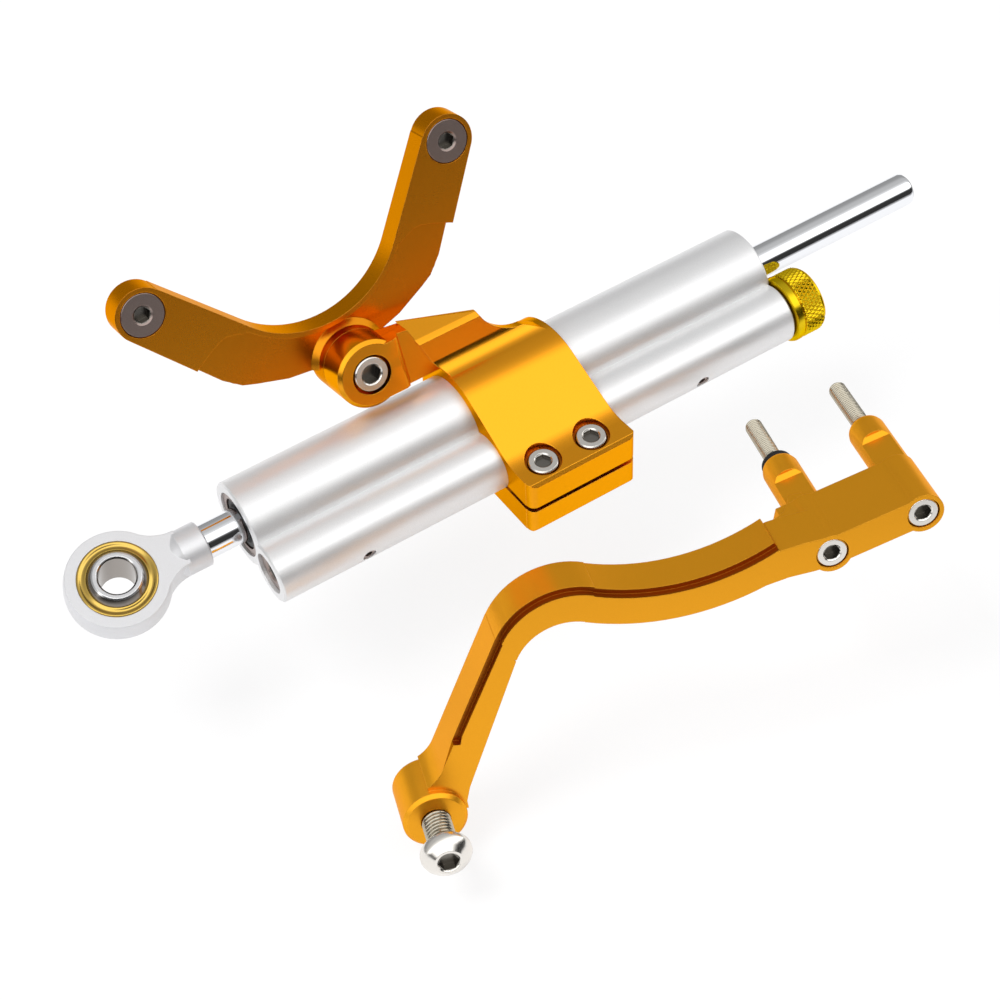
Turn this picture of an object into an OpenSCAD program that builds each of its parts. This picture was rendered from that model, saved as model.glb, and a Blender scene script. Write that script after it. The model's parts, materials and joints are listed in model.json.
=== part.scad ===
// Linear steering damper with pinch clamp, crescent bracket and loose S-shaped arm bracket.
// Millimetres. Origin at the rod end's ball, +X along the damper towards the knob, +Z up.

/* [Damper body] */
// Length of the extruded body
body_len = 167.1; // [120:0.1:220]
// Radius of the main cylinder
main_r = 12.4; // [10:0.1:16]
// Radius of the bypass cylinder
side_r = 8.73; // [6:0.01:12]
// Distance between the two cylinder axes
axes_gap = 16.61; // [14:0.01:22]
// Radius of the main bore
bore_r = 9.0; // [7:0.1:10]
// Radius of the bypass bore
side_bore_r = 4.2; // [3:0.1:5]
// Depth of the recess in each end face
end_recess = 1.6; // [1:0.1:3]

/* [Rod] */
// Radius of the piston rod
rod_r = 5.0; // [4:0.1:6]
// Rod left bare between the rod end and the body
bare_left = 10.8; // [8:0.1:60]
// Rod standing out of the right-hand end
bare_right = 59.2; // [10:0.1:70]
// Distance from the rod end's ball to the end of its collar
eye_to_collar = 25.2; // [22:0.1:30]

/* [Rod end] */
// Outer radius of the rod end's ring
eye_r = 14.3; // [12:0.05:18]
// Outer radius of the race
race_r = 10.75; // [9:0.05:12]
// Radius of the ball
ball_r = 9.5; // [8:0.1:11]
// Roll of the eye about the rod
eye_roll = 16.1; // [-30:0.1:30]

/* [Clamp] */
// Where the clamp's left side crosses the rod axis
clamp_x = 104.3; // [70:0.1:140]
// Width of the clamp
clamp_w = 34.6; // [20:0.1:40]
// Width of the clamp over the rod
clamp_w_rod = 32.6; // [20:0.1:40]
// Outer radius of the band
band_r = 15.6; // [14:0.1:18]
// Lean of the clamp's two sides
clamp_skew = 3.5; // [0:0.1:6]
// Front face of the pinch tab
tab_y = -35.4; // [-40:0.1:-32]
// Top face of the pinch tab
tab_z = 2.6; // [0:0.1:4]

/* [Crescent] */
// Tilt of the pivot axis above the horizontal
pivot_tilt = 21.5; // [0:0.5:45]
// Swing of the crescent about its pivot bolt
crescent_swing = 5.2; // [-15:0.1:15]
// Half the distance between the crescent's two screws
screw_half = 46.9; // [40:0.1:55]
// Height of the screws above the pivot
screw_up = 43.7; // [35:0.1:55]
// Radius of the inner arc
inner_r = 28.7; // [25:0.1:40]

/* [Arm bracket] */
// Depth of the S-shaped arm
arm_depth = 13.6; // [10:0.1:20]
// Length of the yoke's legs from the front face
leg_len = 43.2; // [35:0.1:55]
// Length of the yoke's bolts from head to tip
arm_bolt_len = 65.0; // [50:0.1:75]

/* [Hidden] */
$fn = 96;
gold = [0.80, 0.48, 0.06];
fit_gap = 0.02;
bite = 0.03;
run_gap = 0.05;
swing_gap = 0.1;
cut = 1;
body_x0 = eye_to_collar + bare_left;
body_x1 = body_x0 + body_len;
drop = asin((main_r - side_r) / axes_gap);
side_y = -axes_gap * cos(drop);
side_z = -axes_gap * sin(drop);
rod_x1 = body_x1 + bare_right;
// Glands, wipers and retaining rings
recess_r = bore_r + 0.6;
gland_len = 12.4;
wiper_r = 7.2;
wiper_len = 5.4;
wiper_proud = 0.6;
clip_thick = 1.0;
clip_in_r = 7.6;
clip_gap = 5.0;
clip_ear = 2.4;
// Piston
piston_x = 148;
piston_len = 14;
piston_r = 8.6;
piston_hole_at = 6.1;
piston_hole_r = 0.6;
ring_len = 4;
ring_deep = 1.15;
// Rod end
eye_half = 4.8;
race_half = 5.0;
ball_half = 7.0;
eye_bore_r = 5.0;
collar_r = 6.4;
eye_flat_r = 13.65;
neck_half = 5.2;
neck_round = 12.0;
collar_x0 = 15.6;
stud_r = 3.0;
stud_len = 9.0;
// Bypass plug and grub screws
plug_head_r = 6.0;
plug_head = 4.0;
plug_sink = 0.9;
plug_len = 16;
plug_hex_r = 2.89;
oring_r = 0.78;
oring_groove_r = 2.6;
grub_r = 2.0;
grub_len = 3.2;
port_r = 1.5;
port_x = [62.0, 171.0];
// Adjuster
knob_r = 9.85;
knob_len = 10.1;
knob_gap = 0.4;
knob_rim = 2.2;
knob_rim_round = 0.9;
neck_pin_r = 3.0;
spindle_len = 22;
needle_len = 6;
detent_r = 1.2;
detent_off = 6.4;
detent_deep = 4.0;
// Clamp
slit_z0 = -8.7;
slit_z1 = -7.0;
clamp_bolt_x = [114.8, 130.4];
clamp_bolt_y = -28.8;
m5_r = 2.5;
m5_head_r = 4.25;
m5_head = 5.0;
m5_low_head = 2.3;
m5_low_len = 15.4;
m5_hex_r = 2.31;
sink_r = 4.45;
ring_sink_r = 5.15;
ring_sink = 1.1;
tab_round = 2.5;
tab_break_top = 0.95;
tab_break_low = 0.6;
tab_low = -17.2;
low_y = -8.0;
low_turn = atan2(tab_low, low_y) + acos(band_r / norm([low_y, tab_low]));
ramp_y = -26.0;
ramp_turn = atan2(tab_z, ramp_y) - acos(band_r / norm([ramp_y, tab_z]));
ramp_round = 14;
ramp_slope = ramp_turn - 90;
ramp_run = ramp_round * tan(ramp_slope / 2);
// Lug and pivot
pivot = [83.35, 5.62, 25.31];
lug_r = 9.8;
lug_break = 1.0;
lug_thick = 9.5;
step_down = 3.6;
fin_u = [13.9, 35.3];
fin_top = 1.6;
fin_back_top = 6.4;
fin_front = -2.2;
fin_break = 1.2;
fin_thin = -4.6;
fin_foot = -5.3;
foot_r = 6.28;
band_vs = [-25.61, -4.05];
scoop_c = [47.15, 4.94];
scoop_r = 12.7;
m6_r = 3.0;
m6_head_r = 5.0;
m6_head = 6.0;
m6_hex_r = 2.89;
pivot_sink_r = 5.7;
pivot_sink = 6.3;
bush_r = 4.5;
// Crescent
crescent_front = -10.5;
crescent_thick = 7.0;
pocket_deep = 3.5;
rim_w = 1.5;
end_r = 7.5;
inner_rise = 51.6;
inner_cy = 43.0;
csk_r = 6.1;
csk_flat = 0.5;
screw_len = 9.6;
waist = 0.2;
tip_gap = 0.4;
boss_foot = 1.6;
// Arm bracket
arm_pos = [157.3, -100.6, 8.7];
arm_turn = [71.87, 0, -17.95];
bolt2 = [24.9, 6.0];
valley_c = [-40.1, 58.4];
valley_in = 58.1;
valley_out = 67.4;
hump_c = [-71.4, -14.0];
hump_out = 21.0;
hump_ic = [-72.3, -16.8];
hump_in = 14.5;
boss_c = [-112.9, -55.4];
boss_r = 8.8;
boss_proud = 2.3;
yoke_r = 5.6;
yoke_depth = 20.4;
leg_r = 5.2;
leg_flat = 3.3;
leg_flat_end = 32.4;
head_sink = 0.25;
o_ring_r = 1.05;
nose = 2.2;
rebate_w = 1.35;
rebate_deep = 2.0;
m8_r = 4.0;
m8_head_r = 7.0;
m8_head = 4.4;
m8_out = 14.5;
m8_in = 13.0;
m8_hex_r = 2.89;
bolt_lean = atan2(bolt2[1], bolt2[0]);

// Frames and shared shapes

module along_x(x) {
  translate([x, 0, 0]) rotate([0, 90, 0]) children();
}

module on_side(x) {
  translate([x, side_y, side_z]) rotate([0, 90, 0]) children();
}

module yz_extrude(x, len) {
  translate([x, 0, 0]) rotate([90, 0, 90]) linear_extrude(height = len) children();
}

module mirrored_end(x_mid) {
  translate([x_mid, 0, 0]) mirror([1, 0, 0]) translate([-x_mid, 0, 0]) children();
}

module in_pivot() {
  translate(pivot) rotate([90 - pivot_tilt, 0, 0]) children();
}

module in_crescent() {
  in_pivot() rotate([0, 0, crescent_swing]) children();
}

module in_arm() {
  translate(arm_pos) rotate(arm_turn) children();
}

module tube(r_out, r_in, len) {
  difference() {
    cylinder(r = r_out, h = len);
    translate([0, 0, -cut]) cylinder(r = r_in, h = len + 2 * cut);
  }
}

module torus(major, minor) {
  rotate_extrude() translate([major, 0]) circle(r = minor);
}

module broken_disc(r, h, c) {
  rotate_extrude() polygon([[0, 0], [r - c, 0], [r, c], [r, h - c], [r - c, h], [0, h]]);
}

module cap_screw(r, head_r, head, hex_r, len) {
  difference() {
    union() {
      broken_disc(head_r, head, 0.35);
      translate([0, 0, -len]) broken_disc(r, len + cut, 0.4);
    }
    translate([0, 0, head * 0.45]) cylinder(r = hex_r, h = head, $fn = 6);
    translate([0, 0, head - 0.35]) cylinder(r1 = hex_r - 0.1, r2 = hex_r + 0.45, h = 0.55);
  }
}

module eight(grow) {
  circle(r = main_r + grow);
  translate([side_y, side_z]) circle(r = side_r + grow);
}

// Damper body

module damper_body() {
  color([0.85, 0.86, 0.87]) difference() {
    union() {
      along_x(body_x0) broken_disc(main_r, body_len, 0.5);
      on_side(body_x0) broken_disc(side_r, body_len, 0.5);
    }
    along_x(body_x0 - cut) cylinder(r = bore_r, h = body_len + 2 * cut);
    along_x(body_x0 - cut) cylinder(r = recess_r, h = end_recess + cut);
    along_x(body_x1 - end_recess) cylinder(r = recess_r, h = end_recess + cut);
    on_side(body_x0 - cut) cylinder(r = side_bore_r, h = body_len + 2 * cut);
    on_side(body_x0 - cut) cylinder(r = plug_head_r, h = plug_sink + plug_head + cut);
    for (x = port_x) port_drill(x);
    translate([body_x1 - detent_deep, side_y, side_z - detent_off]) rotate([0, 90, 0])
      cylinder(r = detent_r + fit_gap, h = detent_deep + cut);
  }
}

module port_axis(x) {
  translate([x, side_y, side_z]) rotate([90 + drop, 0, 0]) children();
}

module port_drill(x) {
  port_axis(x) {
    translate([0, 0, side_r - grub_len - 0.6]) cylinder(r = grub_r, h = grub_len + 0.6 + cut);
    translate([0, 0, bore_r - axes_gap - cut]) cylinder(r = port_r, h = axes_gap);
  }
}

module detent_at() {
  translate([body_x1 + knob_gap - detent_r - run_gap, side_y, side_z - detent_off]) children();
}

// Glands, wipers and clips

module gland() {
  along_x(body_x0 + end_recess) difference() {
    tube(bore_r - fit_gap, rod_r + run_gap, gland_len);
    translate([0, 0, -cut]) cylinder(r = wiper_r, h = wiper_len - wiper_proud + cut);
  }
}

module wiper() {
  along_x(body_x0 + end_recess - wiper_proud) difference() {
    tube(wiper_r - fit_gap, rod_r + run_gap, wiper_len);
    translate([0, 0, -cut]) cylinder(r1 = rod_r + 1.6, r2 = rod_r, h = 1.2 + cut);
  }
}

module clip() {
  along_x(body_x0 + end_recess - clip_thick - fit_gap) difference() {
    union() {
      tube(recess_r - 2 * fit_gap, clip_in_r, clip_thick);
      for (s = [-1, 1]) translate([-recess_r + clip_ear, s * 3.4, 0])
        cylinder(r = 1.4, h = clip_thick);
    }
    translate([-recess_r - cut, -clip_gap / 2, -cut]) cube([4 + cut, clip_gap, clip_thick + 2 * cut]);
    for (s = [-1, 1]) translate([-recess_r + clip_ear, s * 3.4, -cut]) cylinder(r = 0.6, h = 3);
    translate([0, 0, -cut]) cylinder(r = wiper_r + 0.1, h = clip_thick + 2 * cut);
  }
}

mid_x = body_x0 + body_len / 2;

module gland_left() {
  color([0.5, 0.5, 0.52]) gland();
}

module gland_right() {
  color([0.5, 0.5, 0.52]) mirrored_end(mid_x) gland();
}

module wiper_left() {
  color([0.06, 0.06, 0.06]) wiper();
}

module wiper_right() {
  color([0.06, 0.06, 0.06]) mirrored_end(mid_x) wiper();
}

module clip_left() {
  color([0.3, 0.3, 0.3]) clip();
}

module clip_right() {
  color([0.3, 0.3, 0.3]) mirrored_end(mid_x) clip();
}

// Piston and rod

module piston() {
  color([0.6, 0.6, 0.62]) along_x(piston_x - piston_len / 2) difference() {
    tube(piston_r, rod_r + fit_gap, piston_len);
    translate([0, 0, (piston_len - ring_len) / 2 - run_gap])
      tube(piston_r + cut, piston_r - ring_deep, ring_len + 2 * run_gap);
    for (a = [0 : 60 : 300]) rotate([0, 0, a]) translate([piston_hole_at, 0, -cut])
      cylinder(r = piston_hole_r, h = piston_len + 2 * cut);
  }
}

module piston_ring() {
  color([0.2, 0.25, 0.22]) along_x(piston_x - ring_len / 2)
    tube(bore_r - run_gap, piston_r - ring_deep + run_gap, ring_len);
}

module piston_rod() {
  color([0.8, 0.8, 0.82]) along_x(eye_to_collar) rotate_extrude() polygon([
    [0, -stud_len], [stud_r - 0.4, -stud_len], [stud_r, 0.4 - stud_len], [stud_r, 0],
    [rod_r - 0.3, 0], [rod_r, 0.3], [rod_r, rod_x1 - eye_to_collar - 2.2],
    [4.75, rod_x1 - eye_to_collar - 1.1], [4.1, rod_x1 - eye_to_collar - 0.45],
    [2.6, rod_x1 - eye_to_collar - 0.1], [0, rod_x1 - eye_to_collar]]);
}

// Rod end

module in_eye() {
  rotate([eye_roll, 0, 0]) children();
}

module eye_outline() {
  reach = eye_flat_r + neck_round;
  x = sqrt(reach * reach - pow(neck_half + neck_round, 2));
  y = neck_half + neck_round;
  k = (eye_flat_r - 0.3) / reach;
  difference() {
    polygon([[0, 0], [k * x, k * y], [x, y], [x, -y], [k * x, -k * y]]);
    for (s = [-1, 1]) translate([x, s * y]) circle(r = neck_round + bite);
  }
}

module rod_end_housing() {
  color([0.75, 0.75, 0.77]) difference() {
    union() {
      in_eye() rotate_extrude() polygon([[race_r - 1, -eye_half], [eye_flat_r - 1.2, -eye_half],
        [eye_flat_r - 0.2, -eye_half + 0.9], [eye_r - 0.15, -eye_half + 2.4], [eye_r, -1.2],
        [eye_r, 1.2], [eye_r - 0.1, eye_half - 2.2], [eye_flat_r + 0.3, eye_half - 0.7],
        [eye_flat_r, eye_half], [race_r - 1, eye_half]]);
      in_eye() translate([0, 0, -eye_half + 0.3]) linear_extrude(height = 2 * eye_half - 0.3) eye_outline();
      along_x(collar_x0) cylinder(r1 = eye_half - 0.2, r2 = collar_r - 0.3, h = 2.2);
      along_x(collar_x0 + 2.2) broken_disc(collar_r, eye_to_collar - collar_x0 - 2.2, 0.3);
    }
    in_eye() translate([0, 0, -eye_r]) cylinder(r = race_r, h = 2 * eye_r);
    along_x(eye_to_collar - stud_len - 0.5) cylinder(r = stud_r + fit_gap, h = stud_len + 0.5 + cut);
  }
}

module rod_end_race() {
  color([0.72, 0.55, 0.22]) in_eye() difference() {
    translate([0, 0, -race_half]) broken_disc(race_r - fit_gap, 2 * race_half, 0.4);
    sphere(r = ball_r + run_gap);
  }
}

module rod_end_ball() {
  color([0.8, 0.8, 0.8]) in_eye() difference() {
    intersection() {
      sphere(r = ball_r);
      translate([0, 0, -ball_half]) cylinder(r = ball_r + cut, h = 2 * ball_half);
    }
    translate([0, 0, -ball_half - cut]) cylinder(r = eye_bore_r, h = 2 * ball_half + 2 * cut);
    for (s = [-1, 1]) translate([0, 0, s * ball_half]) rotate([s > 0 ? 180 : 0, 0, 0])
      translate([0, 0, -0.01]) cylinder(r1 = eye_bore_r + 0.5, r2 = eye_bore_r, h = 0.51);
  }
}

// Bypass circuit

module bypass_plug() {
  color([0.3, 0.3, 0.32]) on_side(body_x0 + plug_sink) difference() {
    union() {
      broken_disc(plug_head_r - fit_gap, plug_head, 0.4);
      cylinder(r = side_bore_r - fit_gap, h = plug_len);
    }
    translate([0, 0, 9]) tube(side_bore_r + cut, oring_groove_r, 2.2);
    translate([0, 0, -cut]) cylinder(r = plug_hex_r, h = 2.8 + cut, $fn = 6);
    translate([0, 0, -0.01]) cylinder(r1 = plug_hex_r + 0.5, r2 = plug_hex_r - 0.1, h = 0.6);
  }
}

module plug_o_ring() {
  color([0.05, 0.05, 0.05]) on_side(body_x0 + plug_sink + 9 + 1.1)
    torus(side_bore_r - fit_gap - oring_r, oring_r);
}

module grub_screws() {
  color([0.25, 0.25, 0.26]) for (x = port_x) port_axis(x)
    translate([0, 0, side_r - grub_len - 0.5]) difference() {
      broken_disc(grub_r - fit_gap, grub_len, 0.3);
      translate([0, 0, grub_len - 1.5]) cylinder(r = 1.15, h = 1.5 + cut, $fn = 6);
    }
}

// Adjuster

module adjuster_knob() {
  color([0.78, 0.70, 0.08]) on_side(body_x1 + knob_gap) difference() {
    rotate_extrude() polygon([[0, 0], [knob_r - knob_rim_round, 0], [knob_r - 0.25, 0.3],
      [knob_r, knob_rim_round], [knob_r, knob_rim], [knob_r - 0.45, knob_rim + 0.35],
      [knob_r - 0.45, knob_rim + 0.75], [knob_r - 0.1, knob_rim + 1.1],
      [knob_r - 0.1, knob_len - 1.0], [knob_r - 1.0, knob_len], [0, knob_len]]);
    translate([0, 0, -cut]) cylinder(r = neck_pin_r + fit_gap, h = knob_len - 1.5 + cut);
    translate([-0.7, -knob_r, knob_len - 1.2]) cube([1.4, 2 * knob_r, 1.2 + cut]);
  }
}

module adjuster_spindle() {
  color([0.7, 0.7, 0.72]) on_side(body_x1 - spindle_len) difference() {
    union() {
      cylinder(r = side_bore_r - run_gap, h = spindle_len - 0.5);
      translate([0, 0, spindle_len - 1]) cylinder(r = neck_pin_r, h = 1 + knob_gap + knob_len - 2.5);
      translate([0, 0, -needle_len]) cylinder(r1 = 0.6, r2 = 2.4, h = needle_len + 0.1);
    }
    translate([0, 0, 12]) tube(side_bore_r + cut, oring_groove_r, 2.2);
  }
}

module spindle_o_ring() {
  color([0.05, 0.05, 0.05]) on_side(body_x1 - spindle_len + 12 + 1.1)
    torus(side_bore_r - fit_gap - oring_r, oring_r);
}

module detent_ball() {
  color([0.7, 0.7, 0.72]) detent_at() sphere(r = detent_r);
}

// Clamp with its lug

module corner_cut(r) {
  difference() {
    translate([-cut, -cut, -30]) cube([r + cut, r + cut, 60]);
    translate([r, r, -31]) cylinder(r = r, h = 62);
  }
}

module clamp_profile() {
  circle(r = band_r);
  polygon([[tab_y, tab_z - tab_break_top], [tab_y + tab_break_top, tab_z], [ramp_y, tab_z],
    (band_r - bite) * [cos(ramp_turn), sin(ramp_turn)], [0, 0],
    (band_r - bite) * [cos(low_turn), sin(low_turn)],
    [low_y, tab_low], [tab_y + tab_break_low, tab_low], [tab_y, tab_low + tab_break_low]]);
  difference() {
    polygon([[ramp_y - ramp_run, tab_z - 1], [ramp_y, tab_z - 1],
      [ramp_y + ramp_run * cos(ramp_slope) + 0.5, tab_z + ramp_run * sin(ramp_slope) - 1],
      [ramp_y - ramp_run, tab_z + ramp_round]]);
    translate([ramp_y - ramp_run, tab_z + ramp_round]) circle(r = ramp_round + bite);
  }
}

module clamp_band() {
  tab_x0 = clamp_x + tan(clamp_skew) * -tab_y;
  tab_right = tab_x0 + clamp_w;
  widen = (tab_right - clamp_x - clamp_w_rod) / -tab_y;
  intersection() {
    difference() {
      yz_extrude(clamp_x - 10, clamp_w + 20) clamp_profile();
      translate([tab_x0, tab_y, 0]) corner_cut(tab_round);
      translate([tab_right, tab_y, 0]) rotate([0, 0, 90]) corner_cut(tab_round);
    }
    translate([clamp_x, 0, -40]) linear_extrude(height = 80) polygon([
      [50 * tan(clamp_skew), -50], [tab_right - clamp_x + (50 + tab_y) * widen, -50],
      [clamp_w_rod - 50 * widen, 50], [-50 * tan(clamp_skew), 50]]);
  }
}

module fin_side() {
  polygon([[-16, -lug_thick], [fin_back_top, -lug_thick],
    [fin_top, fin_front - fin_break], [fin_top - fin_break, fin_front], [-16, fin_front]]);
  difference() {
    polygon([[fin_foot, fin_front - 1], [fin_foot, fin_front + foot_r],
      toward(band_vs, [fin_foot, fin_front + foot_r], band_r), band_vs]);
    translate([fin_foot, fin_front + foot_r]) circle(r = foot_r + 2 * bite);
  }
}

module lug_fin() {
  intersection() {
    translate([0, 0, -lug_thick]) linear_extrude(height = lug_thick + 6)
      polygon([[fin_u[0], fin_back_top], [fin_u[0] + 4.6, -6.5], [22, -12], [24, -22], [52, -22],
        [52, -10.6], [46.5, -7.6], [44, -5], [fin_u[1], fin_top]]);
    translate([fin_u[0] - 2, 0, 0]) rotate([90, 0, 90]) linear_extrude(height = 40.1) fin_side();
    translate([0, fin_back_top + 1, 0]) rotate([90, 0, 0]) linear_extrude(height = 30)
      polygon([[12, 6], [53, 6], [53, fin_thin], [fin_u[1], fin_thin], [fin_u[0], -lug_thick],
        [12, -lug_thick]]);
  }
}

module lug_slab() {
  difference() {
    union() {
      translate([0, 0, -lug_thick]) rotate_extrude() polygon([[0, 0], [lug_r, 0],
        [lug_r, lug_thick - lug_break], [lug_r - lug_break, lug_thick], [0, lug_thick]]);
      translate([0, 0, -lug_thick]) linear_extrude(height = lug_thick - step_down)
        polygon([[0, -lug_r], [22, -lug_r], [22, -12], [26, -12], [26, -6], [18.8, -6],
          [fin_u[0] + 0.4, fin_back_top - 0.8], [6.5, 6.8], [0, 6.8]]);
      translate([0, 6.8, 0]) rotate([90, 0, 0]) linear_extrude(height = 6.8 + lug_r - 1.2)
        polygon([[0, 0], [8.6, 0], [9.8, -0.6], [11.2, -step_down], [11.2, -5], [0, -5]]);
      lug_fin();
    }
    translate([scoop_c[0], scoop_c[1], -20]) cylinder(r = scoop_r, h = 30);
    translate([0, 0, -lug_thick - cut]) cylinder(r = bush_r + fit_gap, h = 2 * lug_thick);
    translate([0, 0, -pivot_sink]) cylinder(r = pivot_sink_r, h = pivot_sink + cut);
  }
}

module clamp() {
  color(gold) difference() {
    union() {
      clamp_band();
      in_pivot() lug_slab();
    }
    yz_extrude(clamp_x - clamp_w, 3 * clamp_w) eight(fit_gap);
    translate([clamp_x - clamp_w, tab_y - cut, slit_z0])
      cube([3 * clamp_w, -tab_y + side_y + cut, slit_z1 - slit_z0]);
    for (x = clamp_bolt_x) translate([x, clamp_bolt_y, 0]) {
      translate([0, 0, tab_z - m5_low_head - 0.05]) cylinder(r = sink_r, h = 10);
      translate([0, 0, tab_z - ring_sink]) cylinder(r = ring_sink_r, h = 10);
      translate([0, 0, slit_z0]) cylinder(r = m5_r + 0.25, h = 20);
      translate([0, 0, tab_low - cut]) cylinder(r = m5_r + fit_gap, h = 20);
    }
  }
}

module clamp_bolts() {
  color([0.7, 0.7, 0.72]) for (x = clamp_bolt_x)
    translate([x, clamp_bolt_y, tab_z - m5_low_head])
      cap_screw(m5_r, m5_head_r, m5_low_head, m5_hex_r, m5_low_len);
}

module pivot_bush() {
  color([0.65, 0.5, 0.25]) in_pivot() translate([0, 0, -lug_thick - swing_gap])
    tube(bush_r, m6_r + run_gap, lug_thick - pivot_sink + 2 * swing_gap);
}

module pivot_bolt() {
  color([0.72, 0.72, 0.74]) in_pivot() translate([0, 0, swing_gap - pivot_sink + run_gap])
    cap_screw(m6_r, m6_head_r, m6_head, m6_hex_r, 10.6);
}

// Crescent bracket

module crescent_outline() {
  wing = [1, -1];
  arm_in = inner_r * cos(inner_rise);
  arm_side = inner_r * sin(inner_rise);
  difference() {
    union() {
      for (s = wing) translate([s * screw_half, screw_up]) circle(r = end_r);
      for (s = wing) polygon([[s * (screw_half + 6.2), screw_up - 4.2], [s * 34.6, 13.6],
        [s * 30.2, 9.3], [s * 26.7, 7.6], [s * 17.8, 3.9], [0, 0], [0, 40], [s * 20, 40],
        [s * (screw_half - 5.95), screw_up + 4.6]]);
      for (s = wing) translate([s * 28.6, 14.9]) circle(r = 5.2);
      circle(r = lug_r);
    }
    translate([0, inner_cy]) circle(r = inner_r);
    for (s = wing) translate([0, inner_cy]) polygon([[0, 0], [s * arm_side, -arm_in],
      [s * (arm_side + 40 * cos(inner_rise)), -arm_in + 40 * sin(inner_rise)], [0, 40]]);
  }
}

module pocket_outline() {
  difference() {
    union() {
      for (s = [-1, 1]) polygon([[0, -20], [s * 60, -20], [s * 52, 14.9], [s * 39.3, 22.3],
        [s * 35.5, 24.2], [s * 31.5, 25.9], [s * 29.5, 26.1], [s * 27.5, 25.5], [s * 24.7, 24.4],
        [0, 24.4]]);
    }
    translate([0, inner_cy]) circle(r = inner_r + rim_w);
  }
}

module crescent_bracket() {
  back = crescent_front - crescent_thick;
  color([0.68, 0.36, 0.05]) in_crescent() difference() {
    union() {
      difference() {
        translate([0, 0, back]) linear_extrude(height = crescent_thick) crescent_outline();
        translate([0, 0, crescent_front - pocket_deep]) linear_extrude(height = 10) pocket_outline();
      }
      translate([0, 0, back]) cylinder(r = lug_r, h = -back - lug_thick - swing_gap);
      intersection() {
        translate([0, 0, crescent_front - pocket_deep])
          cylinder(r1 = lug_r + boss_foot, r2 = lug_r, h = boss_foot);
        translate([0, 0, back]) linear_extrude(height = crescent_thick) crescent_outline();
      }
    }
    translate([0, 0, back - cut]) cylinder(r = m6_r + fit_gap, h = 20);
    for (s = [-1, 1]) translate([s * screw_half, screw_up, 0]) {
      translate([0, 0, back - cut]) cylinder(r = m6_r + 0.3, h = 20);
      translate([0, 0, crescent_front - csk_flat - 3.1])
        cylinder(r1 = m6_r, r2 = csk_r + 0.1, h = 3.2);
      translate([0, 0, crescent_front - csk_flat]) cylinder(r = csk_r + 0.1, h = 2);
    }
  }
}

module csk_screw(s) {
  color([0.35, 0.28, 0.25]) in_crescent() translate([s * screw_half, screw_up, crescent_front])
    difference() {
      rotate_extrude() polygon([[0, -screw_len], [m6_r - 0.5, -screw_len],
        [m6_r, 0.5 - screw_len], [m6_r, -crescent_thick - tip_gap],
        [m6_r - waist, -crescent_thick - tip_gap], [m6_r - waist, -3.6], [csk_r - 0.1, -0.6], [csk_r - 0.1, -0.2],
        [csk_r - 0.3, 0], [0, 0]]);
      translate([0, 0, -2.6]) cylinder(r = 2.31, h = 4, $fn = 6);
      translate([0, 0, -0.5]) cylinder(r1 = 2.2, r2 = 2.8, h = 0.51);
    }
}

module bracket_screw_left() {
  csk_screw(-1);
}

module bracket_screw_right() {
  csk_screw(1);
}

// Arm bracket

function toward(p, q, len) = p + (q - p) * len / norm(q - p);

module arm_curve(grow) {
  intersection() {
    translate(valley_c) difference() {
      circle(r = valley_out - grow);
      circle(r = valley_in + grow);
    }
    polygon([valley_c, toward(valley_c, hump_ic, 78), [-40, -14.5], [-10, -18], [-9, -6]]);
  }
  intersection() {
    difference() {
      translate(hump_c) circle(r = hump_out - grow);
      translate(hump_ic) circle(r = hump_in + grow);
    }
    polygon([hump_ic, toward(hump_ic, valley_c, 34) + [0.4, 0], [-72, 18], [-104, 12],
      [-103.8, -1.8]]);
  }
}

module leg_shape() {
  polygon([[-89.9, -3.95], [-104.2, -31.85], [-108.85, -40.93], [-113.6, -44.5],
    [-113, -50], [-112.9, -55.4], [-103.45, -55.4], [-103.6, -53.0], [-102.3, -48.5],
    [-85.6, -11.0]]);
}

module arm_outline() {
  arm_curve(0);
  difference() {
    leg_shape();
    translate([-118.1, -36.2]) circle(r = 10.4);
  }
  translate(boss_c) circle(r = boss_r);
  polygon([[-18, 3.0], [-13.5, 4.6], [-7.5, 5.2], [-1.3, 5.3], [0.9, -3.9], [-5, -4.3],
    [-11.8, -4.4], [-18, -5.3]]);
}

module yoke_outline() {
  circle(r = yoke_r);
  translate(bolt2) circle(r = yoke_r);
  rotate([0, 0, bolt_lean])
    polygon([[-7.5, 4.9], [norm(bolt2), 4.9], [norm(bolt2), -3.9], [-2, -3.9], [-9, 2]]);
}

module rebate_shape() {
  intersection() {
    union() {
      intersection() {
        translate(valley_c) difference() {
          circle(r = valley_in + rebate_w);
          circle(r = valley_in - 1);
        }
        polygon([valley_c, toward(valley_c, hump_ic, 78), [-40, -14.5], [-14, -14], [-12.5, 6]]);
      }
      intersection() {
        translate(hump_c) difference() {
          circle(r = hump_out + 1);
          circle(r = hump_out - rebate_w);
        }
        polygon([hump_ic, toward(hump_ic, valley_c, 34) + [0.4, 0], [-72, 18], [-104, 12],
          [-103.8, 3.4]]);
      }
      polygon([[-90.8, -3.5], [-104.4, -30.0], [-105.2, -33.2], [-103.1, -33.7],
        [-102.3, -31.0], [-88.4, -4.7]]);
    }
    translate([-110, -60]) square([97.5, 80]);
  }
}

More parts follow.
